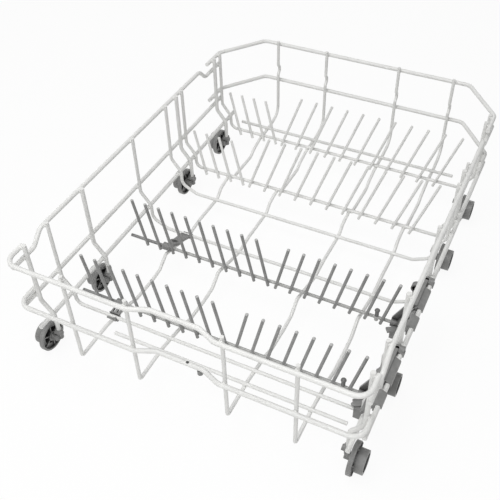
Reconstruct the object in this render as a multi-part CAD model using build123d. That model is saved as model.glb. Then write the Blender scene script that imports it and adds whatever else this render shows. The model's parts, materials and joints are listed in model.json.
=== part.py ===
from build123d import *
import os
from math import atan2, cos, degrees, hypot, radians, sin, tan

# Lower basket of a slim dishwasher, in millimetres.
# X runs across, Y from the front to the back and Z up from the floor.

# Overall sizes
WIDTH = 385.0            # between the centres of the two side rims
DEPTH = 521.0            # between the centres of the front and rear rims
RIM_Z = 149.0            # height of the upper rims
FRONT_LOW_Z = 87.0       # height of the lower front rim
REAR_MID_Z = 92.0        # height of the middle rear rim
MID_Z = 78.5             # height of the middle side rims
RAIL_Z = 48.5            # height of the lower side rails

# Wire radii
FRONT_R = 2.6            # both front rims
RIM_R = 2.55             # all other rims and the rails
LEG_R = 2.5              # wires that carry the wheels
WIRE_R = 2.1             # cross wires and lengthwise wires
TINE_R = 1.8             # fixed white tines
FOLD_R = 1.85            # folding grey tines
ROD_R = 2.0              # rods of the folding racks
WELD = 0.15              # how far two welded wires sink into each other
TINE_WELD = 0.05         # the same for a tine on its wire or rod

# Front rims
CORNER_BEND = 19.0       # bend at the two front corners
FRONT_END = 29.0         # how far back the ends of the front rims reach
GRIP_INSET = 8.5         # the middle of the front rims is set back by this
GRIP_OUTER = 47.0        # half width where the set-back begins
GRIP_INNER = 27.0        # half width of the set-back stretch

# Side rims: each end dips under the rim of the neighbouring wall
DIP = 15.0               # how far the ends go down
DIP_RUN = 15.0           # length of the slope
FRONT_DIP = 43.0         # the front slope begins here
REAR_DIP = 116.0         # the rear slope ends this far before the rear rim
DIP_FRONT_END = 8.0      # front end of the side rims
DIP_REAR_END = 58.0      # their rear end, before the rear rim

# Rear rims
CHAMFER_X = 45.0
CHAMFER_Y = 58.0
REAR_END = 94.0          # how far forward the ends of the rear rims reach

# Wires of the side walls
LEG_TOP = 4.0            # legs stand this far above the upper rim
JOG_TOP_Z = 70.5         # the legs turn inward here
JOG_LOW_Z = 53.0         # and go straight down again here
JOG = 13.45              # how far the legs step inward
LEG_BEND = 8.0
FLOOR_BEND = 12.0

# Places of the wires along the depth, from the front rim
LEG_REAR = 81.5          # last leg, before the rear rim
CROSS_REAR = 64.2        # last cross wire, before the rear rim
LEG_Y = (26.5, 127.5, 335.0, DEPTH - LEG_REAR)
CROSS_Y = (65.0, 231.8, 309.0, 350.0, DEPTH - CROSS_REAR)
CROSS_NAMES = ("front", "second", "third", "fourth", "rear")
CROSS_SLANT = (0.0, 22.0, 22.0, 0.0, 0.0)    # sloped floor corners of the deep wires
SLANT_RISE = 11.0
BAR_FRONT = 44.0         # the two short wires, behind the front rim
BAR_REAR = 45.0          # and before the rear rim
BAR_SHARES = ((-0.2805, 0.4312), (-0.4312, 0.4052))    # their left and right ends
RAIL_FRONT = 7.0         # ends of the lower rails, behind the front rim
RAIL_REAR = 43.5         # and before the rear rim

# Lengthwise wires
LENGTH_X = tuple(WIDTH * share for share in (-0.3247, -0.1325, 0.1371, 0.3299))
LENGTH_NAMES = ("left_outer", "left_inner", "right_inner", "right_outer")
LENGTH_TOP = 6.0         # they stand this far above the upper rims
LENGTH_BEND = 8.0
WALL_BEND = 20.0         # bend from the floor to the rear wall
FRONT_FOOT_Z = 31.5      # lowest point of the front wall
KINK = 4.4               # small bulge of the rear wall
KINK_Z = 110.0           # its middle
FLOOR_FRONT = (
    (30.0, 32.0), (53.0, 31.6), (93.0, 24.2), (108.5, 18.2), (142.0, 16.2), (164.0, 17.8),
    (181.0, 30.2), (213.0, 21.2), (237.0, 15.4), (264.0, 18.6), (317.0, 17.2),
    (328.0, 26.8), (342.0, 29.8), (356.0, 30.2), (364.0, 19.2),
)
FLOOR_REAR = ((101.0, 17.4), (90.0, 23.9), (70.0, 29.0), (35.0, 30.2))    # counted from the rear rim
REAR_FOOT_Z = 35.5

# Fixed tines, left and right group on each of two cross wires
FIXED_LEFT_X = -0.4104 * WIDTH
FIXED_LEFT_PITCH = 0.04935 * WIDTH
FIXED_LEFT_COUNT = 4
FIXED_RIGHT_X = -0.2299 * WIDTH
FIXED_RIGHT_PITCH = 0.0587 * WIDTH
FIXED_RIGHT_COUNT = 11
FIXED_LEFT_LENGTH = 60.0
FIXED_RIGHT_LENGTH = 77.0
FIXED_TAIL = 6.0
FIXED_LEAN = 18.0
FIXED_TILT = 8.0

# Folding racks
ROD_Z = 38.5
LOCK_REACH = 45.5        # from the rod back to the leg that its lock clasps
ROD_INSET = 15.5         # side rim to the left end of a rod
FOLD_FIRST_X = -0.3948 * WIDTH
FOLD_LEFT_COUNT = 10
FOLD_LAST_X = 0.3992 * WIDTH
FOLD_RIGHT_COUNT = 8
FOLD_PITCH = 0.0478 * WIDTH
FOLD_LENGTH = 64.0
FOLD_TAIL = 4.2
FOLD_LEAN = 13.0
FOLD_TILT = 1.6
STUB_X = FOLD_LAST_X - 0.383 * FOLD_PITCH
STUB_R = 2.3
STUB_HEIGHT = 12.0
RUN_GAP = 0.05           # play of each rod and wheel in its bearing

# Wheels and their holders
FLANGE_R = 18.35
FLANGE_WIDTH = 5.0
ROLLER_R = 12.9
WHEEL_WIDTH = 15.4
WHEEL_INSET = 3.2        # side rim to the outer end of the roller
WHEEL_FORWARD = 5.0      # the axle sits this far in front of its leg
BORE_R = 3.5
WHEEL_WEB = 9.7          # bearing length of the wheel
HUB_R = 6.2
DISH = 3.0               # depth of the dished face behind the flange
POCKET = 6.2             # depth of the pockets between the ribs
RIB_COUNT = 6
RIB_THICK = 1.5
AXLE_HEAD_R = 5.0
SLEEVE_R = 3.5
SLEEVE_TOP_Z = 27.5
SLEEVE_LOW_Z = 14.0
LEG_END_Z = 21.0
BOSS_R = 4.2
EAR_R = 3.3              # round ear behind the socket
EAR_Z = 24.4

# Places that follow from the sizes above
FRONT_Y = (FRONT_R - RIM_R - DEPTH) / 2
SIDE_X = WIDTH / 2
LEG_X = SIDE_X - (RIM_R + LEG_R - WELD)
FRONT_SIDE_X = LEG_X + (FRONT_R + LEG_R - WELD)
FOOT_X = LEG_X - JOG
RAIL_X = FOOT_X + (LEG_R + RIM_R - WELD)
CROSS_LEG_X = SIDE_X - (RIM_R + WIRE_R - WELD)
CROSS_FOOT_X = RAIL_X - (RIM_R + WIRE_R - WELD)
FRONT_WALL = FRONT_R + WIRE_R - WELD
REAR_WALL = DEPTH - (RIM_R + WIRE_R - WELD)
ROD_PLACES = (LEG_Y[1] - LOCK_REACH, CROSS_Y[1] - LOCK_REACH)
RACK_NAMES = ("front", "rear")
LOCK_LEG_R = (LEG_R, WIRE_R)
ROD_LEFT = ROD_INSET - SIDE_X
ROD_RIGHT = FOOT_X - 5.5
FOLD_RIGHT_X = FOLD_LAST_X - FOLD_PITCH * (FOLD_RIGHT_COUNT - 1)
WHEEL_OUTER_X = SIDE_X + WHEEL_INSET
WHEEL_INNER_X = WHEEL_OUTER_X - WHEEL_WIDTH
FLOOR = FLOOR_FRONT + tuple((DEPTH - back, height) for back, height in FLOOR_REAR)
FLOOR_LINE = ((FRONT_WALL, FRONT_FOOT_Z),) + FLOOR + ((REAR_WALL, REAR_FOOT_Z),)

pieces = {}


def at(x, y, z):
    """Point with Y counted from the front rim."""
    return (x, FRONT_Y + y, z)


def bent_path(points, bend):
    """Straight runs through the points, with every corner rounded."""
    spots = [Vector(*point) for point in points]
    bends = bend if isinstance(bend, (list, tuple)) else [bend] * (len(spots) - 2)
    edges = []
    start = spots[0]
    for before, corner, after, radius in zip(spots, spots[1:], spots[2:], bends):
        back = before - corner
        ahead = after - corner
        half = radians(back.get_angle(ahead)) / 2
        cut = min(radius / tan(half), 0.48 * back.length, 0.48 * ahead.length)
        inner = cut * tan(half)
        back = back.normalized()
        ahead = ahead.normalized()
        first = corner + back * cut
        last = corner + ahead * cut
        middle = corner + (back + ahead).normalized() * (inner / sin(half) - inner)
        edges.append(Edge.make_line(start, first))
        edges.append(Edge.make_three_point_arc(first, middle, last))
        start = last
    edges.append(Edge.make_line(start, spots[-1]))
    return Wire(edges)


def wire(points, radius, bend=LEG_BEND):
    """Round wire bent along the points."""
    path = bent_path(points, bend)
    section = Plane(origin=path @ 0, z_dir=path % 0) * Circle(radius)
    return sweep(section, path)


def pin(start, end, radius):
    """Straight round bar between two points."""
    first = Vector(*start)
    run = Vector(*end) - first
    bar = Cylinder(radius, run.length, align=(Align.CENTER, Align.CENTER, Align.MIN))
    return Plane(origin=first, z_dir=run.normalized()) * bar


def block(low, high):
    """Box between two opposite corners."""
    size = [b - a for a, b in zip(low, high)]
    middle = [(a + b) / 2 for a, b in zip(low, high)]
    return Pos(*middle) * Box(*size)


def group(shapes):
    """Several separate solids kept as one piece."""
    return Compound([solid for shape in shapes for solid in shape.solids()])


def floor_at(y):
    """Height of the lengthwise wires at Y, and the height of a wire laid across them."""
    for (y0, z0), (y1, z1) in zip(FLOOR_LINE, FLOOR_LINE[1:]):
        if y0 <= y <= y1:
            height = z0 + (z1 - z0) * (y - y0) / (y1 - y0)
            lift = (2 * WIRE_R - WELD) * hypot(y1 - y0, z1 - z0) / (y1 - y0)
            return height, height + lift
    raise ValueError("outside the floor")


# Front rims: ends run back along the sides, the middle is set back for the hand
for name, height in (("front_upper_rim", RIM_Z), ("front_lower_rim", FRONT_LOW_Z)):
    half = [
        at(GRIP_INNER, GRIP_INSET, height),
        at(GRIP_OUTER, 0, height),
        at(FRONT_SIDE_X, 0, height),
        at(FRONT_SIDE_X, FRONT_END, height),
    ]
    other = [(-x, y, z) for x, y, z in reversed(half)]
    bends = [CORNER_BEND, 14.0, 14.0, 14.0, 14.0, CORNER_BEND]
    pieces[name] = wire(other + half, FRONT_R, bends)

# Rear rims with their sloped corners
for name, height in (("rear_upper_rim", RIM_Z), ("rear_middle_rim", REAR_MID_Z)):
    half = [
        at(SIDE_X - CHAMFER_X, DEPTH, height),
        at(SIDE_X, DEPTH - CHAMFER_Y, height),
        at(SIDE_X, DEPTH - REAR_END, height),
    ]
    other = [(-x, y, z) for x, y, z in reversed(half)]
    pieces[name] = wire(other + half, RIM_R, 12.0)

# Side rims and lower rails
for side, sign in (("left", -1), ("right", 1)):
    x = sign * SIDE_X
    upper = [
        at(x, DIP_FRONT_END, RIM_Z - DIP),
        at(x, FRONT_DIP, RIM_Z - DIP),
        at(x, FRONT_DIP + DIP_RUN, RIM_Z),
        at(x, DEPTH - REAR_DIP, RIM_Z),
        at(x, DEPTH - REAR_DIP + DIP_RUN, RIM_Z - DIP),
        at(x, DEPTH - DIP_REAR_END, RIM_Z - DIP),
    ]
    pieces[side + "_upper_rim"] = wire(upper, RIM_R, 10.0)
    middle = (at(x, DIP_FRONT_END, MID_Z), at(x, DEPTH - DIP_REAR_END, MID_Z))
    pieces[side + "_middle_rim"] = pin(*middle, RIM_R)
    rail_x = sign * RAIL_X
    rail = (at(rail_x, RAIL_FRONT, RAIL_Z), at(rail_x, DEPTH - RAIL_REAR, RAIL_Z))
    pieces[side + "_lower_rail"] = pin(*rail, RIM_R)

# Cross wires: down one side wall, across the floor and up the other
for name, y, slant in zip(CROSS_NAMES, CROSS_Y, CROSS_SLANT):
    height = floor_at(y)[1]
    half = [
        at(CROSS_FOOT_X, y, JOG_LOW_Z),
        at(CROSS_LEG_X, y, JOG_TOP_Z),
        at(CROSS_LEG_X, y, RIM_Z + LEG_TOP),
    ]
    bends = [LEG_BEND, LEG_BEND]
    if slant:
        half = [at(CROSS_FOOT_X - slant, y, height), at(CROSS_FOOT_X, y, height + SLANT_RISE)] + half
        bends = [FLOOR_BEND, FLOOR_BEND] + bends
    else:
        half = [at(CROSS_FOOT_X, y, height)] + half
        bends = [FLOOR_BEND] + bends
    other = [(-px, py, pz) for px, py, pz in reversed(half)]
    pieces["cross_wire_" + name] = wire(other + half, WIRE_R, bends[::-1] + bends)

# Two short cross wires that only lie on the lengthwise ones
for name, y, (left, right) in zip(("front", "rear"), (BAR_FRONT, DEPTH - BAR_REAR), BAR_SHARES):
    height = floor_at(y)[1]
    bar = pin(at(WIDTH * left, y, height), at(WIDTH * right, y, height), WIRE_R)
    pieces["cross_bar_" + name] = bar

# Lengthwise wires: front wall, wavy floor and rear wall in one
for name, x in zip(LENGTH_NAMES, LENGTH_X):
    line = [(FRONT_WALL, RIM_Z + LENGTH_TOP)]
    line += FLOOR_LINE
    line += [
        (REAR_WALL, KINK_Z - 7.5),
        (REAR_WALL + KINK, KINK_Z - 2.5),
        (REAR_WALL + KINK, KINK_Z + 2.5),
        (REAR_WALL, KINK_Z + 7.5),
        (REAR_WALL, RIM_Z + LENGTH_TOP),
    ]
    bends = [4.0] + [LENGTH_BEND] * len(FLOOR) + [WALL_BEND] + [3.0] * 4
    pieces["length_wire_" + name] = wire([at(x, y, z) for y, z in line], WIRE_R, bends)

# Legs that carry the wheels
LEG_NAMES = [f"{side}_{row}" for side in ("left", "right") for row in range(1, 5)]
LEG_PLACES = [(sign, y) for sign in (-1, 1) for y in LEG_Y]
for name, (sign, y) in zip(LEG_NAMES, LEG_PLACES):
    line = [
        at(sign * LEG_X, y, RIM_Z + LEG_TOP),
        at(sign * LEG_X, y, JOG_TOP_Z),
        at(sign * FOOT_X, y, JOG_LOW_Z),
        at(sign * FOOT_X, y, LEG_END_Z),
    ]
    pieces["wheel_leg_" + name] = wire(line, LEG_R)

# Wheel holders: socket on the leg's end, round ear, boss, axle and head
wheel_spots = []
for name, (sign, y) in zip(LEG_NAMES, LEG_PLACES):
    foot = sign * FOOT_X
    axle_y = y - WHEEL_FORWARD
    inner = sign * WHEEL_INNER_X

    def shaft(from_x, to_x, radius):
        """Round stretch of the holder on the axle's line."""
        return pin(at(from_x, axle_y, FLANGE_R), at(to_x, axle_y, FLANGE_R), radius)

    socket = pin(at(foot, y, SLEEVE_LOW_Z), at(foot, y, SLEEVE_TOP_Z), SLEEVE_R)
    collar = pin(at(foot, y, SLEEVE_TOP_Z - 2.4), at(foot, y, SLEEVE_TOP_Z), SLEEVE_R + 0.7)
    boss = shaft(foot - sign * 1.0, inner - sign * 0.5, BOSS_R)
    ear_y = y - 0.4 * WHEEL_FORWARD
    ear = pin(at(foot - sign * 5.4, ear_y, EAR_Z), at(foot + sign * 3.1, ear_y, EAR_Z), EAR_R)
    axle = shaft(foot, inner + sign * (WHEEL_WEB + 0.6), BORE_R)
    head_x = inner + sign * (WHEEL_WEB + 0.4)
    head = shaft(head_x, head_x + sign * 2.2, AXLE_HEAD_R)
    holder = socket + collar + boss + ear + axle + head
    hole = pin(at(foot, y, LEG_END_Z), at(foot, y, EAR_Z + EAR_R + 1), LEG_R)
    pieces["wheel_holder_" + name] = holder - hole
    wheel_spots.append((sign, axle_y))

# Wheels: roller with a guide flange on the inside, dished and ribbed behind it
for name, (sign, axle_y) in zip(LEG_NAMES, wheel_spots):
    def ring(from_x, to_x, radius):
        """Disc of the wheel between two distances from its inner face."""
        start = at(sign * (WHEEL_INNER_X + from_x), axle_y, FLANGE_R)
        end = at(sign * (WHEEL_INNER_X + to_x), axle_y, FLANGE_R)
        return pin(start, end, radius)

    wheel = ring(0, FLANGE_WIDTH, FLANGE_R) + ring(0, WHEEL_WIDTH, ROLLER_R)
    wheel -= ring(WHEEL_WEB, WHEEL_WIDTH + 1, ROLLER_R - 2.8)
    wheel -= ring(-1, DISH, FLANGE_R - 2.4) - ring(-2, DISH + 1, HUB_R)
    wheel -= ring(-1, POCKET, ROLLER_R - 2.6) - ring(-2, POCKET + 1, HUB_R)
    rib_long = FLANGE_R - 1.2 - HUB_R + 0.8
    rib_deep = POCKET - 1.0
    for turn in range(RIB_COUNT):
        rib = Pos(0, 0, HUB_R - 0.8 + rib_long / 2) * Box(rib_deep, RIB_THICK, rib_long)
        place = at(sign * (WHEEL_INNER_X + 1.2 + rib_deep / 2), axle_y, FLANGE_R)
        wheel += Pos(*place) * Rot(360 / RIB_COUNT * turn, 0, 0) * rib
    wheel -= ring(-2, WHEEL_WIDTH + 2, BORE_R + RUN_GAP)
    pieces["wheel_" + name] = wheel

# Fixed tines stand on the front of two cross wires
tilt = radians(FIXED_TILT)
lean = radians(FIXED_LEAN)
for name, y in zip(("front", "rear"), CROSS_Y[3:]):
    height = floor_at(y)[1]
    row_y = y - (WIRE_R + TINE_R - TINE_WELD) / cos(tilt)
    tines = []
    for sign, first, pitch, count, length in (
        (-1, FIXED_LEFT_X, FIXED_LEFT_PITCH, FIXED_LEFT_COUNT, FIXED_LEFT_LENGTH),
        (1, FIXED_RIGHT_X, FIXED_RIGHT_PITCH, FIXED_RIGHT_COUNT, FIXED_RIGHT_LENGTH),
    ):
        way = Vector(sign * sin(lean), cos(lean) * sin(tilt), cos(lean) * cos(tilt))
        for number in range(count):
            base = Vector(*at(first + pitch * number, row_y, height))
            tines.append(pin(base - way * FIXED_TAIL, base + way * length, TINE_R))
    pieces["fixed_tines_" + name] = group(tines)

# Folding racks: rod with a short stub, and two groups of tines on the front of the rod
tilt = radians(FOLD_TILT)
lean = radians(FOLD_LEAN)
for name, y in zip(RACK_NAMES, ROD_PLACES):
    stub_base = Vector(*at(STUB_X, y, ROD_Z))
    stub_way = Vector(0, sin(tilt), cos(tilt))
    bar = pin(at(ROD_LEFT, y, ROD_Z), at(ROD_RIGHT, y, ROD_Z), ROD_R)
    stub = pin(stub_base - stub_way * 4.6, stub_base + stub_way * STUB_HEIGHT, STUB_R)
    pieces["fold_rod_" + name] = bar + stub
    row_y = y - (ROD_R + FOLD_R - TINE_WELD) / cos(tilt)
    tines = []
    for sign, first, count in (
        (-1, FOLD_FIRST_X, FOLD_LEFT_COUNT),
        (1, FOLD_RIGHT_X, FOLD_RIGHT_COUNT),
    ):
        way = Vector(sign * sin(lean), cos(lean) * sin(tilt), cos(lean) * cos(tilt))
        for number in range(count):
            base = Vector(*at(first + FOLD_PITCH * number, row_y, ROD_Z))
            tines.append(pin(base - way * FOLD_TAIL, base + way * FOLD_LENGTH, FOLD_R))
    pieces["fold_tines_" + name] = group(tines)

# Hinge clips: a barrel on the rod, a fan-shaped plate and two prongs under a cross wire
CLIP_X = LENGTH_X[0] + 0.5
CLIP_HALF = 5.4
BARREL_R = 4.8
CLIP_THICK = 3.2
FAN_NEAR = 3.4           # half width of the plate at the rod
FAN_FAR = 6.8            # and at the cross wire
PRONG_R = WIRE_R + 2.0
EYE_R = 3.6
EYE_SHARE = 0.36         # place of the eye along the long plate
KNOB_R = 1.5
WIRE_ROOM = 0.7          # room around a wire that only passes
for name, rod_y, cross_y in (
    ("front", ROD_PLACES[0], CROSS_Y[0]),
    ("rear", ROD_PLACES[1], CROSS_Y[1]),
):
    cross_z = floor_at(cross_y)[1]
    side = 1 if rod_y > cross_y else -1
    reach = Vector(0, cross_y - rod_y, cross_z - ROD_Z)
    run = reach.length
    sheet = Plane(origin=at(CLIP_X, rod_y, ROD_Z), x_dir=(1, 0, 0), z_dir=Vector(1, 0, 0).cross(reach))
    fan = Polygon((-FAN_NEAR, 0), (FAN_NEAR, 0), (FAN_FAR, run), (-FAN_FAR, run), align=None)
    clip = extrude(sheet * fan, CLIP_THICK / 2, both=True)
    clip += pin(at(CLIP_X - CLIP_HALF, rod_y, ROD_Z), at(CLIP_X + CLIP_HALF, rod_y, ROD_Z), BARREL_R)
    clip += pin(at(CLIP_X - FAN_FAR, cross_y, cross_z), at(CLIP_X + FAN_FAR, cross_y, cross_z), PRONG_R)
    if run > 30:
        # The long plate has a round eye
        clip += sheet * Pos(0, EYE_SHARE * run, 0) * Cylinder(2 * EYE_R, CLIP_THICK)
        clip -= sheet * Pos(0, EYE_SHARE * run, 0) * Cylinder(EYE_R, 4 * CLIP_THICK)
    else:
        # The short one has two slots
        for slot_x in (-2.5, 2.5):
            clip -= sheet * Pos(slot_x, 0.56 * run, 0) * Box(2.2, 5.4, 4 * CLIP_THICK)
    # The upper side of the cross wire stays bare, apart from a knob that hooks up behind it
    near_y = cross_y + side * (WIRE_R + 0.3)
    far_y = cross_y - side * (PRONG_R + 1.0)
    low_y, high_y = sorted((near_y, far_y))
    clip -= block(at(CLIP_X - 20, low_y, cross_z + 0.2), at(CLIP_X + 20, high_y, cross_z + 12))
    knob_y = cross_y - side * (WIRE_R + KNOB_R - 0.3)
    clip += pin(at(CLIP_X + 4.4, knob_y, cross_z - 1.6), at(CLIP_X + 4.4, knob_y, cross_z + 2.4), KNOB_R)
    # Bores for the rod and the wires
    clip -= pin(at(CLIP_X - 20, rod_y, ROD_Z), at(CLIP_X + 20, rod_y, ROD_Z), ROD_R + RUN_GAP)
    clip -= pin(at(CLIP_X - 20, cross_y, cross_z), at(CLIP_X + 20, cross_y, cross_z), WIRE_R)
    for (y0, z0), (y1, z1) in zip(FLOOR_LINE, FLOOR_LINE[1:]):
        if y1 > min(rod_y, cross_y) - 10 and y0 < max(rod_y, cross_y) + 10:
            clip -= pin(at(LENGTH_X[0], y0, z0), at(LENGTH_X[0], y1, z1), WIRE_R + WIRE_ROOM)
    pieces["hinge_clip_" + name] = clip

# Lock brackets on the right wall: a roof over the middle rim, an arm with the rod's bearing, a lug on a leg
ROOF = (
    (3.6, -1.8), (3.6, 1.6), (-3.2, 4.8), (-4.6, 4.8), (-12.5, -12.0),
    (-16.6, -19.6), (-14.2, -20.9), (-8.4, -10.6), (-3.2, -2.4),
)
ROOF_FRONT = -36.0       # ends of the roof, from the rod
ROOF_REAR = 38.0
SKIRT = ((-34.0, -1.0), (-30.5, -17.5), (-14.0, -17.5), (-6.0, -1.0))    # web below the rim, Y and Z
NOTCHES = ((-18.5, -8.0), (24.0, 31.0))      # gaps in which the rim shows
POCKETS = (-12.0, 36.0)  # round holes from the mould's cores, beside the gaps
POCKET_R = 2.1
RIDGE_TOP = 6.2          # top of the stiffening ridge above the rim
GRIP_FRONT = 4.6         # wall of the front bracket's grip, before the cross wire
GRIP_SIDE = 4.4          # and beside it
for name, rod_y, leg_r, passing_y in zip(RACK_NAMES, ROD_PLACES, LOCK_LEG_R, (CROSS_Y[0], None)):
    leg_y = rod_y + LOCK_REACH
    outline = [(SIDE_X + x, MID_Z + z) for x, z in ROOF]
    section = Plane(origin=at(0, rod_y + ROOF_REAR, 0), x_dir=(1, 0, 0), z_dir=(0, -1, 0))
    bracket = extrude(section * Polygon(*outline, align=None), ROOF_REAR - ROOF_FRONT)
    # Web below the front end, and the mouth through which the rim snaps in
    side = Plane(origin=at(SIDE_X - 6.0, rod_y, MID_Z), x_dir=(0, 1, 0), z_dir=(1, 0, 0))
    bracket += extrude(side * Polygon(*SKIRT, align=None), 2.8)
    mouth_low = at(SIDE_X - RIM_R, rod_y + ROOF_FRONT - 5, MID_Z - 8)
    bracket -= block(mouth_low, at(SIDE_X + RIM_R, rod_y + ROOF_REAR + 5, MID_Z))
    # Stiffening ridge and the round head at the leg
    ridge_low = at(SIDE_X - 7.6, rod_y - 7.0, MID_Z + 0.4)
    bracket += block(ridge_low, at(SIDE_X - 3.4, rod_y + ROOF_REAR - 4.0, MID_Z + RIDGE_TOP))
    head_y = rod_y + ROOF_REAR
    bracket += pin(at(SIDE_X - 8, head_y, MID_Z), at(SIDE_X + 2.6, head_y, MID_Z), 4.9)
    for notch_front, notch_rear in NOTCHES:
        bracket -= block(
            at(SIDE_X - 3.1, rod_y + notch_front, MID_Z - 5),
            at(SIDE_X + 6, rod_y + notch_rear, MID_Z + 6),
        )
    for pocket in POCKETS:
        core = (at(SIDE_X - 5.0, rod_y + pocket, MID_Z - 1.5), at(SIDE_X - 5.0, rod_y + pocket, MID_Z + 12))
        bracket -= pin(*core, POCKET_R)
    # The rear bracket also has a lug around the sloped stretch of its leg, with a round ear
    leg_high = Vector(*at(LEG_X if leg_r == LEG_R else CROSS_LEG_X, leg_y, JOG_TOP_Z))
    leg_low = Vector(*at(FOOT_X if leg_r == LEG_R else CROSS_FOOT_X, leg_y, JOG_LOW_Z))
    lug_high = leg_high + (leg_low - leg_high) * 0.20
    lug_low = leg_high + (leg_low - leg_high) * 0.62
    if passing_y is None:
        ear_x = (lug_low.X + lug_high.X) / 2 - 5.0
        ear_z = (lug_low.Z + lug_high.Z) / 2 - 0.5
        ear = pin(at(ear_x, leg_y - 9.5, ear_z), at(ear_x, leg_y - 2.8, ear_z), 5.8)
        cup = (at(ear_x - 0.6, leg_y - 11, ear_z + 0.4), at(ear_x - 0.6, leg_y - 5.2, ear_z + 0.4))
        bracket += pin(lug_low, lug_high, 4.7) + (ear - pin(*cup, 3.6))
    # Arm that follows the wall down to the bearing of the rod
    arm_top = Vector(*at(SIDE_X - 15.0, rod_y, MID_Z - 17.0))
    arm_low = Vector(*at(ROD_RIGHT - 1.6, rod_y, ROD_Z + 2.0))
    arm_mid = (arm_top + arm_low) * 0.5
    arm_run = (arm_top - arm_low).length
    arm_slope = degrees(atan2(arm_top.X - arm_low.X, arm_top.Z - arm_low.Z))
    bracket += Pos(arm_mid.X, arm_mid.Y + 3.6, arm_mid.Z) * Rot(0, arm_slope, 0) * Box(9.0, 3.2, arm_run)
    bracket += Pos(arm_mid.X + 3.2, arm_mid.Y, arm_mid.Z) * Rot(0, arm_slope, 0) * Box(2.6, 10.4, arm_run)
    bracket += pin(at(ROD_RIGHT - 5.2, rod_y, ROD_Z), at(ROD_RIGHT + 2.4, rod_y, ROD_Z), 4.7)
    # Release lever in front of the bearing, and the block below it
    lever = Rot(0, 0, 34) * Box(15.0, 6.4, 2.6)
    bracket += Pos(*at(ROD_RIGHT + 0.4, rod_y - 9.6, ROD_Z + 0.2)) * lever
    block_low = at(ROD_RIGHT - 2.6, rod_y - 11.6, ROD_Z - 13.5)
    bracket += block(block_low, at(ROD_RIGHT + 4.6, rod_y - 3.0, ROD_Z + 0.4))
    if passing_y is not None:
        # The front bracket also grips the bend of the cross wire that passes it
        grip_low = at(ROD_RIGHT - 2.6, passing_y - GRIP_FRONT, ROD_Z - 13.5)
        bracket += block(grip_low, at(CROSS_FOOT_X + GRIP_SIDE, rod_y - 10.0, ROD_Z + 2.0))
    # Small square hole, and room for the wires
    hole_at = at(SIDE_X - 6.6, rod_y - 23.0, MID_Z)
    bracket -= Pos(*hole_at) * Rot(0, 28, 0) * Box(9, 3.6, 3.6)
    bracket -= pin(leg_low, leg_high, leg_r)
    upright = (leg_high.X, leg_high.Y, JOG_TOP_Z - 3)
    bracket -= pin(upright, (leg_high.X, leg_high.Y, RIM_Z), leg_r + WIRE_ROOM)
    if passing_y is not None:
        pass_z = floor_at(passing_y)[1]
        route = [
            at(CROSS_LEG_X, passing_y, RIM_Z),
            at(CROSS_LEG_X, passing_y, JOG_TOP_Z),
            at(CROSS_FOOT_X, passing_y, JOG_LOW_Z),
            at(CROSS_FOOT_X, passing_y, pass_z),
            at(0, passing_y, pass_z),
        ]
        bracket -= wire(route, WIRE_R + WIRE_ROOM, [LEG_BEND, LEG_BEND, FLOOR_BEND])
    rim_line = (at(SIDE_X, rod_y + 2 * ROOF_FRONT, MID_Z), at(SIDE_X, rod_y + 2 * ROOF_REAR, MID_Z))
    bracket -= pin(*rim_line, RIM_R)
    bracket -= pin(at(ROD_LEFT, rod_y, ROD_Z), at(ROD_RIGHT + 0.5, rod_y, ROD_Z), ROD_R + RUN_GAP)
    pieces["lock_bracket_" + name] = bracket

# Small stop under the lower front rim
STOP_X = 23.0
STOP_R = 3.0
STOP_HEIGHT = 6.5
stop_z = FRONT_LOW_Z - FRONT_R + 0.03
stop = pin(at(STOP_X, GRIP_INSET, stop_z - STOP_HEIGHT), at(STOP_X, GRIP_INSET, stop_z), STOP_R)
pieces["front_stop"] = fillet(stop.edges().group_by(Axis.Z)[0], 0.5 * STOP_R)

os.makedirs("parts", exist_ok=True)
for name, piece in pieces.items():
    export_step(piece, f"parts/{name}.step")
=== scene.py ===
# %% [markdown]
# # The lower basket of a slim dishwasher
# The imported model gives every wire, wheel and clip its shape and place. This lesson dresses it:
# it gives each finish its own material, rounds the coated ends, adds the beads where the coating
# fills the welds and a few small moulded pieces, and sets the basket on a white table in front
# of a camera.

# %% Load the frame
import json
import math

import bpy
from mathutils import Matrix, Vector
from mathutils.bvhtree import BVHTree
from mathutils.geometry import intersect_ray_tri

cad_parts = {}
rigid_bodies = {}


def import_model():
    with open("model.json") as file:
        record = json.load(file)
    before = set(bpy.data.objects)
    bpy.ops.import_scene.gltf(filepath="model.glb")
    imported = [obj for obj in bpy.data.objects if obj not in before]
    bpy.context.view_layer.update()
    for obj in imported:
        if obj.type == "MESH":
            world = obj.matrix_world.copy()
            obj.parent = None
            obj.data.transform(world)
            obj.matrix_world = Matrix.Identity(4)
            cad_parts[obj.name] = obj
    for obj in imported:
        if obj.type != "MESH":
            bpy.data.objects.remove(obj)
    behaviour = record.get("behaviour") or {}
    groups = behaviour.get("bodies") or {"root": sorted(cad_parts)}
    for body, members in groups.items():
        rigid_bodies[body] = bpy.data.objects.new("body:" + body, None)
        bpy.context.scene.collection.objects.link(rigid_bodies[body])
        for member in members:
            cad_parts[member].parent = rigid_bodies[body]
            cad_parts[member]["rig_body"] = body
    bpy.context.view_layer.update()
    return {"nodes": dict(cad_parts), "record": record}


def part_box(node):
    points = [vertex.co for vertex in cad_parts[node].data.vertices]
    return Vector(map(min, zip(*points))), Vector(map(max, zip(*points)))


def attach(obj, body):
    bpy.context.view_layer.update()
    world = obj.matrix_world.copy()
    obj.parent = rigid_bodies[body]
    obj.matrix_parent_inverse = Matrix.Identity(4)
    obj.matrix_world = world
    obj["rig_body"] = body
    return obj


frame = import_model()
nodes = frame["nodes"]
MM = 0.001

# %% [markdown]
# ## Camera
# The photograph looks down into the basket from the front right. Its angle was found by matching
# the rims and wires, so the camera gets that place and turn as plain numbers. A lens of about
# 53 mm on a 36 mm sensor gives the same slight convergence of the side rims.

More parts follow.
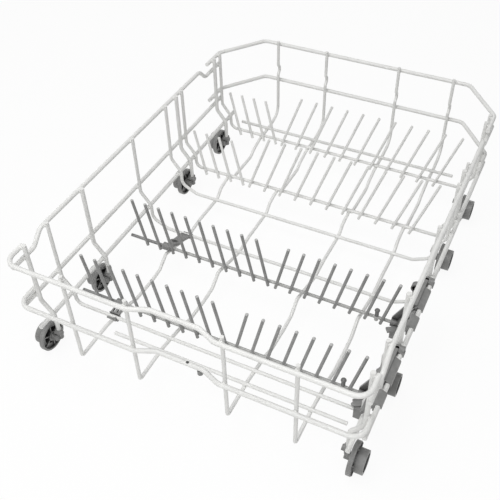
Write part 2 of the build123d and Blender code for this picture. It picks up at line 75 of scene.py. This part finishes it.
# %% Camera
CAMERA_PLACE = (0.27119, -0.62037, 0.66711)
CAMERA_TURN = (46.235, 1.176, 26.108)
CAMERA_LENS = 53.22

view = bpy.data.cameras.new("photo_camera")
view.lens = CAMERA_LENS
view.sensor_width = 36.0
camera = bpy.data.objects.new("photo_camera", view)
camera.location = CAMERA_PLACE
camera.rotation_euler = [math.radians(angle) for angle in CAMERA_TURN]
bpy.context.scene.collection.objects.link(camera)
bpy.context.scene.camera = camera
print("camera at", CAMERA_PLACE)

# %% [markdown]
# ## Helpers for finishes
# Colours are written as sRGB hex values, as a colour picker shows them, and one function turns
# them to the linear values that the shader wants. One more function adds a node with its
# settings and its links, so that a finish reads as a short list.


# %% Colour and node helpers
def linear(code):
    """Linear RGBA of an sRGB hex colour."""
    parts = [int(code[i:i + 2], 16) / 255 for i in (1, 3, 5)]
    return [p / 12.92 if p <= 0.04045 else ((p + 0.055) / 1.055) ** 2.4 for p in parts] + [1.0]


def add(tree, kind, inputs=None, links=None, **settings):
    """Adds a node, sets it and links its sockets: links is {socket: (node, output)}."""
    made = tree.nodes.new(kind)
    for name, value in settings.items():
        setattr(made, name, value)
    for name, value in (inputs or {}).items():
        made.inputs[name].default_value = value
    for name, (source, output) in (links or {}).items():
        tree.links.new(source.outputs[output], made.inputs[name])
    return made


def finish(name):
    """New material: its tree, its shader and its Object coordinates."""
    material = bpy.data.materials.new(name)
    material.use_nodes = True
    tree = material.node_tree
    tree.nodes.clear()
    shader = add(tree, "ShaderNodeBsdfPrincipled")
    add(tree, "ShaderNodeOutputMaterial", links={"Surface": (shader, "BSDF")})
    coords = add(tree, "ShaderNodeTexCoord")
    return material, tree, shader, coords


def per_mm(size):
    """Texture scale that gives a pattern of this size in millimetres."""
    return 1.0 / (size * MM)


print("mid grey as linear:", round(linear("#808080")[0], 3))

# %% [markdown]
# ## White coated wire
# The frame is steel wire, welded and then dipped in nylon powder. The coat is a smooth, slightly
# waxy off-white: it flows a little before it sets, which leaves a faint orange peel and small
# differences in thickness. Both come from noise: a wide one tints the colour, a fine one gives
# the bump. The real peel is about 1 mm across, drawn here at 1.6 mm so that it shows.

# %% White coat
COAT_LIGHT = "#e7e7e5"
COAT_SHADE = "#e1e1df"
COAT_PEEL = 1.6
PEEL_STRENGTH = 0.14
PEEL_HEIGHT = 0.12
COAT_CLOUD = 14.0
CLOUD_BAND = (0.35, 0.65)
NYLON_IOR = 1.53


def two_tone(tree, noise, band, shade, light):
    """Colour that goes from shade to light over a band of the noise's values."""
    tint = add(tree, "ShaderNodeValToRGB", links={"Fac": (noise, "Fac")})
    for stop, place, code in zip(tint.color_ramp.elements, band, (shade, light)):
        stop.position = place
        stop.color = linear(code)
    return tint


def wire_coat(name, light, shade, rough):
    """Nylon-dipped wire: cloudy tint, satin gloss, faint peel."""
    material, tree, shader, coords = finish(name)
    cloud = add(tree, "ShaderNodeTexNoise", {"Scale": per_mm(COAT_CLOUD), "Detail": 3.0},
                {"Vector": (coords, "Object")})
    tint = two_tone(tree, cloud, CLOUD_BAND, shade, light)
    gloss = add(tree, "ShaderNodeMapRange", {"To Min": rough[0], "To Max": rough[1]},
                {"Value": (cloud, "Fac")})
    peel = add(tree, "ShaderNodeTexNoise", {"Scale": per_mm(COAT_PEEL), "Detail": 2.0},
               {"Vector": (coords, "Object")})
    bump = add(tree, "ShaderNodeBump", {"Strength": PEEL_STRENGTH, "Distance": PEEL_HEIGHT * MM},
               {"Height": (peel, "Fac")})
    tree.links.new(tint.outputs["Color"], shader.inputs["Base Color"])
    tree.links.new(gloss.outputs["Result"], shader.inputs["Roughness"])
    tree.links.new(bump.outputs["Normal"], shader.inputs["Normal"])
    shader.inputs["IOR"].default_value = NYLON_IOR
    return material


def blend_to(material, share, code):
    """Blends the colour of a finish to another one, as far as the share node says."""
    tree = material.node_tree
    shader = next(node for node in tree.nodes if node.type == "BSDF_PRINCIPLED")
    under = shader.inputs["Base Color"].links[0].from_socket
    blend = add(tree, "ShaderNodeMix", links={"Factor": (share, "Result")}, data_type="RGBA")
    blend.inputs["B"].default_value = linear(code)
    tree.links.new(under, blend.inputs["A"])
    tree.links.new(blend.outputs["Result"], shader.inputs["Base Color"])


white_coat = wire_coat("nylon_dip_white", COAT_LIGHT, COAT_SHADE, rough=(0.4, 0.48))
print("finish:", white_coat.name)

# %% [markdown]
# ### One chip in the coat
# A single dark speck lies on top of the lower front rim, to the left of the small stop. It is
# taken for a chip where the steel shows. A piece of geometry would be too much for it, so the
# coat's colour turns dark within two millimetres of that place.

# %% Chip
CHIP_PLACE = (9.4, -252.0, 89.6)
CHIP_DARK = 1.5
CHIP_EDGE = 1.9
tree = white_coat.node_tree
coords = next(node for node in tree.nodes if node.type == "TEX_COORD")
away = add(tree, "ShaderNodeVectorMath", {1: Vector(CHIP_PLACE) * MM}, {0: (coords, "Object")},
           operation="DISTANCE")
share = add(tree, "ShaderNodeMapRange", {"From Min": CHIP_EDGE * MM, "From Max": CHIP_DARK * MM},
            {"Value": (away, "Value")})
blend_to(white_coat, share, "#161616")
print("chip at", CHIP_PLACE)

# %% [markdown]
# ## Grey coated wire
# The folding racks have the same coat in a mid grey, which is the strongest contrast in the
# photograph. In two places it looks different there. The upturned tips of the tines catch the
# light and look paler, and this is drawn as a painted highlight. The rods are paler between their
# bearings than at their short left ends and on the stub that stands on each of them. That is
# partly a paler finish and partly a line of light too thin for the lamps to give, so it is a paler
# tint with a painted highlight in it. The cause can't be seen, so these are plain tints. Both
# follow a height or a length, so a ramp on one coordinate is enough.

# %% Grey coat
TIP_HIGHLIGHT = (0.95, 0.35)
ROD_PALE_AND_HIGHLIGHT_FROM = (-134.0, -130.0)
STUB_FROM = (40.7, 41.2)


def tint_along(material, axis, low, high, code):
    """Blends a finish to another colour along one axis, between two places in millimetres."""
    tree = material.node_tree
    coords = next(node for node in tree.nodes if node.type == "TEX_COORD")
    split = add(tree, "ShaderNodeSeparateXYZ", links={"Vector": (coords, "Object")})
    share = add(tree, "ShaderNodeMapRange", {"From Min": low * MM, "From Max": high * MM},
                {"Value": (split, axis)})
    blend_to(material, share, code)


grey_coat = wire_coat("nylon_dip_grey", "#939392", "#858584", rough=(0.2, 0.32))
tine_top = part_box("fold_tines_front")[1].z / MM
# Painted highlight: the tine tips turn paler towards their tops.
tint_along(grey_coat, "Z", tine_top - TIP_HIGHLIGHT[0], tine_top - TIP_HIGHLIGHT[1], "#c2c2c1")
rod_coat = wire_coat("nylon_dip_grey_rod", "#8d8d8c", "#808080", rough=(0.16, 0.26))
# Partly a paler finish and partly a painted highlight: the rods turn paler right of their left bearings.
tint_along(rod_coat, "X", *ROD_PALE_AND_HIGHLIGHT_FROM, "#b2b2b0")
# The stub above each rod is set back to a darker grey, outside the painted highlight.
tint_along(rod_coat, "Z", *STUB_FROM, "#6e6e6d")
print("finishes:", grey_coat.name, rod_coat.name)

# %% [markdown]
# ## Moulded plastic
# Clips, brackets and wheel holders are injection-moulded polypropylene. The mould has a fine
# spark-eroded texture, about 0.4 mm, drawn at 0.7 mm so that it shows. The wheels are acetal:
# the same look, a little lighter and smoother where they roll. The pockets and inner corners of
# these parts look nearly black, which is shade, so shade is painted into the colour: it falls to
# a deep grey where an ambient-occlusion node finds the piece's own walls close by.

# %% Plastic finishes
MOTTLE = 7.0
MOTTLE_BAND = (0.3, 0.7)
SKIN_STRENGTH = 0.3
SKIN_HEIGHT = 0.05
FULL_SHADE_AO = 0.3
PLASTIC_IOR = 1.49


def moulded(name, light, shade, painted_shade, recess, grain, rough):
    """Moulded plastic: mottled tint, painted shade in recesses, grained skin."""
    material, tree, shader, coords = finish(name)
    mottle = add(tree, "ShaderNodeTexNoise", {"Scale": per_mm(MOTTLE), "Detail": 4.0},
                 {"Vector": (coords, "Object")})
    tint = two_tone(tree, mottle, MOTTLE_BAND, shade, light)
    gloss = add(tree, "ShaderNodeMapRange", {"To Min": rough[0], "To Max": rough[1]},
                {"Value": (mottle, "Fac")})
    skin = add(tree, "ShaderNodeTexNoise", {"Scale": per_mm(grain), "Detail": 1.0},
               {"Vector": (coords, "Object")})
    bump = add(tree, "ShaderNodeBump", {"Strength": SKIN_STRENGTH, "Distance": SKIN_HEIGHT * MM},
               {"Height": (skin, "Fac")})
    # Painted shade: the colour falls to the dark grey where the piece's own walls are near.
    open_to_light = add(tree, "ShaderNodeAmbientOcclusion", {"Distance": recess * MM},
                        only_local=True, samples=12)
    shade_share = add(tree, "ShaderNodeMapRange", {"From Min": FULL_SHADE_AO, "From Max": 1.0},
                {"Value": (open_to_light, "AO")})
    dim = add(tree, "ShaderNodeMix", links={"Factor": (shade_share, "Result")}, data_type="RGBA")
    dim.inputs["A"].default_value = linear(painted_shade)
    tree.links.new(tint.outputs["Color"], dim.inputs["B"])
    tree.links.new(dim.outputs["Result"], shader.inputs["Base Color"])
    tree.links.new(gloss.outputs["Result"], shader.inputs["Roughness"])
    tree.links.new(bump.outputs["Normal"], shader.inputs["Normal"])
    shader.inputs["IOR"].default_value = PLASTIC_IOR
    return material


# The third colour of each plastic is the painted shade in its pockets and inner corners.
clip_plastic = moulded("moulded_polypropylene_grey", "#8a8a89", "#7a7a79", "#303030",
                       recess=9.0, grain=0.7, rough=(0.36, 0.5))
wheel_plastic = moulded("moulded_acetal_wheel", "#8b8b8a", "#7e7e7d", "#2c2c2c",
                        recess=16.0, grain=0.9, rough=(0.34, 0.48))
print("finishes:", clip_plastic.name, wheel_plastic.name)

# %% [markdown]
# ## Finish on every node
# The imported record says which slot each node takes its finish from, so one table is enough.

# %% Assign the finishes
FINISHES = {
    "white_coated_wire": white_coat,
    "grey_coated_wire": grey_coat,
    "grey_plastic": clip_plastic,
    "wheel_plastic": wheel_plastic,
}
slot_of = {row["node"]: row["material_slot"] for row in frame["record"]["subparts"]}
for name, node in nodes.items():
    for slot in node.material_slots:
        slot.material = rod_coat if name.startswith("fold_rod") else FINISHES[slot_of[name]]
print("dressed nodes:", len(slot_of))

# %% [markdown]
# ## Rounded edges
# The coat runs round every cut end of a wire, and a moulded edge is never sharp. The packed
# meshes have sharp ends, so each node gets three live modifiers: Weld joins its loose triangles,
# Bevel rounds only the edges that turn by more than 60 degrees, which are the ends, and Weighted
# Normal keeps the flat faces beside them flat.

# %% Round the ends
EDGE_ROUND = {
    "white_coated_wire": 0.55,
    "grey_coated_wire": 0.5,
    "grey_plastic": 0.35,
    "wheel_plastic": 0.5,
}
JOIN_WITHIN = 0.002
END_ANGLE = 60.0
for name, node in nodes.items():
    weld = node.modifiers.new("join_triangles", "WELD")
    weld.merge_threshold = JOIN_WITHIN * MM
    bevel = node.modifiers.new("round_ends", "BEVEL")
    bevel.width = EDGE_ROUND[slot_of[name]] * MM
    bevel.segments = 3
    bevel.limit_method = "ANGLE"
    bevel.angle_limit = math.radians(END_ANGLE)
    node.modifiers.new("flat_ends", "WEIGHTED_NORMAL")
print("rounded nodes:", len(nodes))

# %% [markdown]
# ## Beads at the welds
# Two wires that cross are spot-welded before the dip. The coat then fills the narrow gap around
# the weld, so each crossing has a small soft saddle that hugs both wires. A boolean fillet at
# some two hundred places would be slow and fragile, so one bead is shaped and copied: a
# ball with few faces is pressed flat, its ends along the first wire are pushed up to the second
# wire, the ends across it are pushed down, and its four diagonal corners are drawn out.

# %% One bead
BEAD_REACH = 2.5 * MM
BEAD_FLAT = 0.5
MIDDLE = 0.1 * BEAD_REACH
SADDLE = 0.7 * MM
SADDLE_STEPS = ((0.4, 0.35), (0.8, 0.65))
CORNER_FROM = 0.4 * BEAD_REACH
CORNER_DRAW = 1.22


def pick(piece, test):
    """Selects the corners of a piece that pass the test, ready for an edit operator."""
    bpy.ops.object.mode_set(mode="EDIT")
    bpy.ops.mesh.select_mode(type="VERT")
    bpy.ops.mesh.select_all(action="DESELECT")
    bpy.ops.object.mode_set(mode="OBJECT")
    for corner in piece.data.vertices:
        corner.select = test(corner.co)
    bpy.ops.object.mode_set(mode="EDIT")


bpy.ops.object.select_all(action="DESELECT")
bpy.ops.mesh.primitive_uv_sphere_add(segments=8, ring_count=6, radius=BEAD_REACH)
bead = bpy.context.object
bead.name = "weld_bead"
pick(bead, lambda co: True)
bpy.ops.transform.resize(value=(1, 1, BEAD_FLAT), center_override=(0, 0, 0))
pick(bead, lambda co: abs(abs(co.x) - abs(co.y)) < MIDDLE and abs(co.x) > CORNER_FROM)
bpy.ops.transform.resize(value=(CORNER_DRAW, CORNER_DRAW, 1), center_override=(0, 0, 0))
for reach, part in SADDLE_STEPS:
    pick(bead, lambda co: abs(co.x) > reach * BEAD_REACH and abs(co.y) < MIDDLE)
    bpy.ops.transform.translate(value=(0, 0, part * SADDLE))
    pick(bead, lambda co: abs(co.y) > reach * BEAD_REACH and abs(co.x) < MIDDLE)
    bpy.ops.transform.translate(value=(0, 0, -part * SADDLE))
bpy.ops.object.mode_set(mode="OBJECT")
bpy.ops.object.shade_smooth()
print("bead:", len(bead.data.polygons), "faces")

# %% [markdown]
# ### Where the welds are
# The wires sink into each other by a hair at every weld, so the welds are found, not listed: two
# wires are welded where their surfaces cut each other. A search tree gives the triangles that
# meet, the cuts of their edges give the place, the longest edge gives the first wire's direction
# and the two surfaces' normals give the direction from one wire to the other.

# %% Tools to find a weld
ONE_WELD = 6 * MM


def surface(node):
    """Corners, triangles and search tree of a node's mesh."""
    corners = [vertex.co.copy() for vertex in node.data.vertices]
    triangles = [[corners[i] for i in face.vertices] for face in node.data.polygons]
    numbers = [tuple(face.vertices) for face in node.data.polygons]
    return triangles, BVHTree.FromPolygons(corners, numbers)


def cuts(one, other):
    """Points where the edges of one triangle go through the other."""
    for i in range(3):
        start = one[i]
        run = one[(i + 1) % 3] - start
        hit = intersect_ray_tri(*other, run, start, True)
        if hit and 0 <= (hit - start).dot(run) <= run.length_squared:
            yield hit


def facing(triangle):
    """Normal of a triangle."""
    return (triangle[1] - triangle[0]).cross(triangle[2] - triangle[0]).normalized()


def welds(first, second):
    """Place, direction of the first wire and direction to the second, for each weld of two wires."""
    groups = []
    for a, b in first[1].overlap(second[1]):
        one = first[0][a]
        other = second[0][b]
        for point in [*cuts(one, other), *cuts(other, one)]:
            near = next((g for g in groups if (g[0][0] - point).length < ONE_WELD), None)
            if near is None:
                near = ([], [], [])
                groups.append(near)
            near[0].append(point)
            near[1].append(one)
            near[2].append(other)
    for points, ones, others in groups:
        place = sum(points, Vector()) / len(points)
        edges = [t[(i + 1) % 3] - t[i] for t in ones for i in range(3)]
        along = max(edges, key=lambda edge: edge.length_squared)
        towards = sum(map(facing, ones), Vector()) - sum(map(facing, others), Vector())
        yield place, along, towards.normalized()


print("crossings closer than", ONE_WELD, "m count as one weld")

# %% [markdown]
# ### Search all pairs
# Only wires on the same moving body can be welded, and most pairs are far apart, so their boxes
# are compared first. A bead on a tine is a little smaller, because a tine is thinner.

# %% Find the welds
TINE_BEAD = 0.85
WIRE_SLOTS = ("white_coated_wire", "grey_coated_wire")
wires = [name for name in sorted(nodes) if slot_of[name] in WIRE_SLOTS]
surfaces = {name: surface(nodes[name]) for name in wires}
boxes = {name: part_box(name) for name in wires}
found = {}
for i, one in enumerate(wires):
    for other in wires[i + 1:]:
        body = nodes[one]["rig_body"]
        apart = any(boxes[one][0][k] > boxes[other][1][k] or boxes[other][0][k] > boxes[one][1][k]
                    for k in range(3))
        if apart or nodes[other]["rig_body"] != body:
            continue
        size = TINE_BEAD if "tines" in one + other else 1.0
        for place, along, towards in welds(surfaces[one], surfaces[other]):
            found.setdefault(body, []).append((place, along, towards, size))
print("welds:", {body: len(rows) for body, rows in found.items()})

# %% [markdown]
# ### Copy the bead
# Each weld gets a copy of the bead, turned so that its long side follows the first wire and its
# top looks towards the second. The copies of one moving body are joined to one piece, so that a
# rack carries its own beads when it folds.

# %% Set a bead on every weld
BEAD_SLOTS = {
    "basket": "white_coated_wire",
    "front_rack": "grey_coated_wire",
    "rear_rack": "grey_coated_wire",
}


def copy_to(piece, place):
    """Copy of a piece with a mesh of its own, moved by a matrix."""
    copy = piece.copy()
    copy.data = piece.data.copy()
    copy.data.transform(place)
    bpy.context.scene.collection.objects.link(copy)
    return copy


for body, rows in found.items():
    copies = []
    for place, along, towards, size in rows:
        across = towards.cross(along).normalized()
        turn = Matrix((across.cross(towards), across, towards)).transposed().to_4x4()
        copies.append(copy_to(bead, Matrix.Translation(place) @ turn @ Matrix.Scale(size, 4)))
    bpy.ops.object.select_all(action="DESELECT")
    for copy in copies:
        copy.select_set(True)
    bpy.context.view_layer.objects.active = copies[0]
    bpy.ops.object.join()
    beads = bpy.context.object
    beads.name = "weld_beads_" + body
    beads.data.materials.append(FINISHES[BEAD_SLOTS[body]])
    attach(beads, body)
    print(beads.name, len(beads.data.polygons), "faces")
bpy.data.objects.remove(bead)

# %% [markdown]
# ## Release lever of the front lock
# A thin leaf-shaped lever lies on the grip of the front lock and points into the basket, probably
# for the thumb that lets the rack down. A curve with a bevel would give round edges but no flat
# top, so this starts as a box: it is cut into three lengths, both ends are tapered, the tip most,
# and all edges are rounded. Then it is turned and moved to its place on the grip.

# %% Release lever
LEVER_SIZE = (16.4, 6.6, 2.2)
LEVER_CUTS = (-0.3, 0.3)
LEVER_TIP = (1, 0.3, 0.6)
LEVER_ROOT = (1, 0.7, 1)
LEVER_ROUND = 0.5
LEVER_TURN = 31.0
LEVER_PLACE = (169.2, -193.2, 41.5)
SMOOTH_ANGLE = 35.0
bpy.ops.object.select_all(action="DESELECT")
bpy.ops.mesh.primitive_cube_add(size=MM)
lever = bpy.context.object
lever.name = "lock_lever_front"
pick(lever, lambda co: True)
bpy.ops.transform.resize(value=LEVER_SIZE, center_override=(0, 0, 0))
length = LEVER_SIZE[0] * MM
for cut in LEVER_CUTS:
    bpy.ops.mesh.select_all(action="SELECT")
    bpy.ops.mesh.bisect(plane_co=(cut * length, 0, 0), plane_no=(1, 0, 0))
pick(lever, lambda co: co.x < -0.49 * length)
bpy.ops.transform.resize(value=LEVER_TIP, center_override=(0, 0, 0))
pick(lever, lambda co: co.x > 0.49 * length)
bpy.ops.transform.resize(value=LEVER_ROOT, center_override=(0, 0, 0))
bpy.ops.mesh.select_all(action="SELECT")
bpy.ops.mesh.bevel(offset=LEVER_ROUND * MM, segments=3, affect="EDGES")
bpy.ops.object.mode_set(mode="OBJECT")
turn = Matrix.Rotation(math.radians(LEVER_TURN), 4, "Z")
lever.data.transform(Matrix.Translation(Vector(LEVER_PLACE) * MM) @ turn)
bpy.ops.object.shade_smooth_by_angle(angle=math.radians(SMOOTH_ANGLE))
lever.data.materials.append(clip_plastic)
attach(lever, "basket")
print(lever.name, len(lever.data.polygons), "faces")

# %% [markdown]
# ## Caps on the stubs
# A short stub stands on each rod, probably for the hand that pushes the rack over. Its head is
# wider than the stub and round. A bevel on the stub can't make it wider, so a ball is pressed a
# little flat, its lower half is drawn in until it closes on the stub, and it is copied to the
# second rod.

# %% Stub caps
CAP_RADIUS = 3.1
CAP_FLAT = 0.85
CAP_NECK = (0.85, 0.85, 1.25)
CAP_SINK = 1.9
STUB_END = 1.5
bpy.ops.object.select_all(action="DESELECT")
bpy.ops.mesh.primitive_uv_sphere_add(segments=20, ring_count=12, radius=CAP_RADIUS * MM)
cap = bpy.context.object
pick(cap, lambda co: True)
bpy.ops.transform.resize(value=(1, 1, CAP_FLAT), center_override=(0, 0, 0))
pick(cap, lambda co: co.z < -0.2 * CAP_RADIUS * MM)
bpy.ops.transform.resize(value=CAP_NECK, center_override=(0, 0, 0))
bpy.ops.object.mode_set(mode="OBJECT")
bpy.ops.object.shade_smooth()
cap.data.materials.append(rod_coat)
for side in ("front", "rear"):
    rod = nodes["fold_rod_" + side]
    top = max(vertex.co.z for vertex in rod.data.vertices)
    ring = [vertex.co for vertex in rod.data.vertices if vertex.co.z > top - STUB_END * MM]
    head = sum(ring, Vector()) / len(ring)
    stub_cap = copy_to(cap, Matrix.Translation((head.x, head.y, top - CAP_SINK * MM)))
    stub_cap.name = "stub_cap_" + side
    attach(stub_cap, side + "_rack")
    print(stub_cap.name, "at", [round(v / MM, 1) for v in head])
bpy.data.objects.remove(cap)

# %% [markdown]
# ## Table
# The photograph has a white ground with no edge. More light would burn out the white wires, so
# the table is a big plane that sends the camera mostly plain white and keeps a trace of its own
# shading. That leaves a faint shadow under the wheels.

# %% Table
TABLE_SIZE = 12.0
TABLE_DROP = 0.2
TABLE_WHITE = 0.93


def seen_directly(tree):
    """Node that is 1 for what the camera sees, straight, mirrored or through glass, and 0 for light."""
    path = add(tree, "ShaderNodeLightPath")
    seen = add(tree, "ShaderNodeMath", links={0: (path, "Is Camera Ray"), 1: (path, "Is Glossy Ray")},
               operation="MAXIMUM")
    return add(tree, "ShaderNodeMath", links={0: (seen, 0), 1: (path, "Is Transmission Ray")},
               operation="MAXIMUM")


bpy.ops.object.select_all(action="DESELECT")
bpy.ops.mesh.primitive_plane_add(size=TABLE_SIZE, location=(0, 0, -TABLE_DROP * MM))
table = bpy.context.object
table.name = "white_table"
material, tree, shader, coords = finish("white_table_top")
shader.inputs["Base Color"].default_value = linear("#f2f2f1")
shader.inputs["Roughness"].default_value = 0.9
share = add(tree, "ShaderNodeMath", {1: TABLE_WHITE}, {0: (seen_directly(tree), 0)}, operation="MULTIPLY")
glow = add(tree, "ShaderNodeEmission", {"Color": (1, 1, 1, 1), "Strength": 1.0})
mixed = add(tree, "ShaderNodeMixShader", links={0: (share, 0), 1: (shader, "BSDF"), 2: (glow, "Emission")})
out = next(node for node in tree.nodes if node.type == "OUTPUT_MATERIAL")
tree.links.new(mixed.outputs["Shader"], out.inputs["Surface"])
table.data.materials.append(material)
print("table:", TABLE_SIZE, "m wide")

# %% [markdown]
# ## Light
# The photograph is lit as in a light tent: a large soft lamp above and a pale surround. A small
# lamp on the right lights the moulded brackets, and a long narrow one in front lifts the front
# rims a little. The surround is white where it is seen and dimmer as a light.

# %% Lamps and surround
SURROUND = 0.29
# Name, place, target, size and power of each lamp
LAMPS = (
    ("soft_lamp", (-0.25, -0.35, 1.6), (0, 0, 0.05), (1.4, 1.0), 16.0),
    ("right_lamp", (0.55, -0.7, 0.6), (-0.05, -0.12, 0.08), (0.5, 0.4), 1.2),
    ("strip_lamp", (-0.2, -0.85, 0.5), (0.0, -0.1, 0.05), (0.9, 0.09), 1.2),
)
for lamp_name, place, target, size, power in LAMPS:
    lamp = bpy.data.lights.new(lamp_name, "AREA")
    lamp.shape = "RECTANGLE"
    lamp.size, lamp.size_y = size
    lamp.energy = power
    lamp_object = bpy.data.objects.new(lamp_name, lamp)
    lamp_object.location = place
    aim = Vector(target) - Vector(place)
    lamp_object.rotation_euler = aim.to_track_quat("-Z", "Y").to_euler()
    bpy.context.scene.collection.objects.link(lamp_object)

world = bpy.data.worlds.new("light_tent")
bpy.context.scene.world = world
world.use_nodes = True
tree = world.node_tree
tree.nodes.clear()
level = add(tree, "ShaderNodeMapRange", {"To Min": SURROUND, "To Max": 1.0},
            {"Value": (seen_directly(tree), 0)})
sky = add(tree, "ShaderNodeBackground", {"Color": (1, 1, 1, 1)}, {"Strength": (level, "Result")})
add(tree, "ShaderNodeOutputWorld", links={"Surface": (sky, "Background")})
bpy.context.scene.view_settings.view_transform = "Standard"
print("lamps", len(LAMPS), "surround", SURROUND)
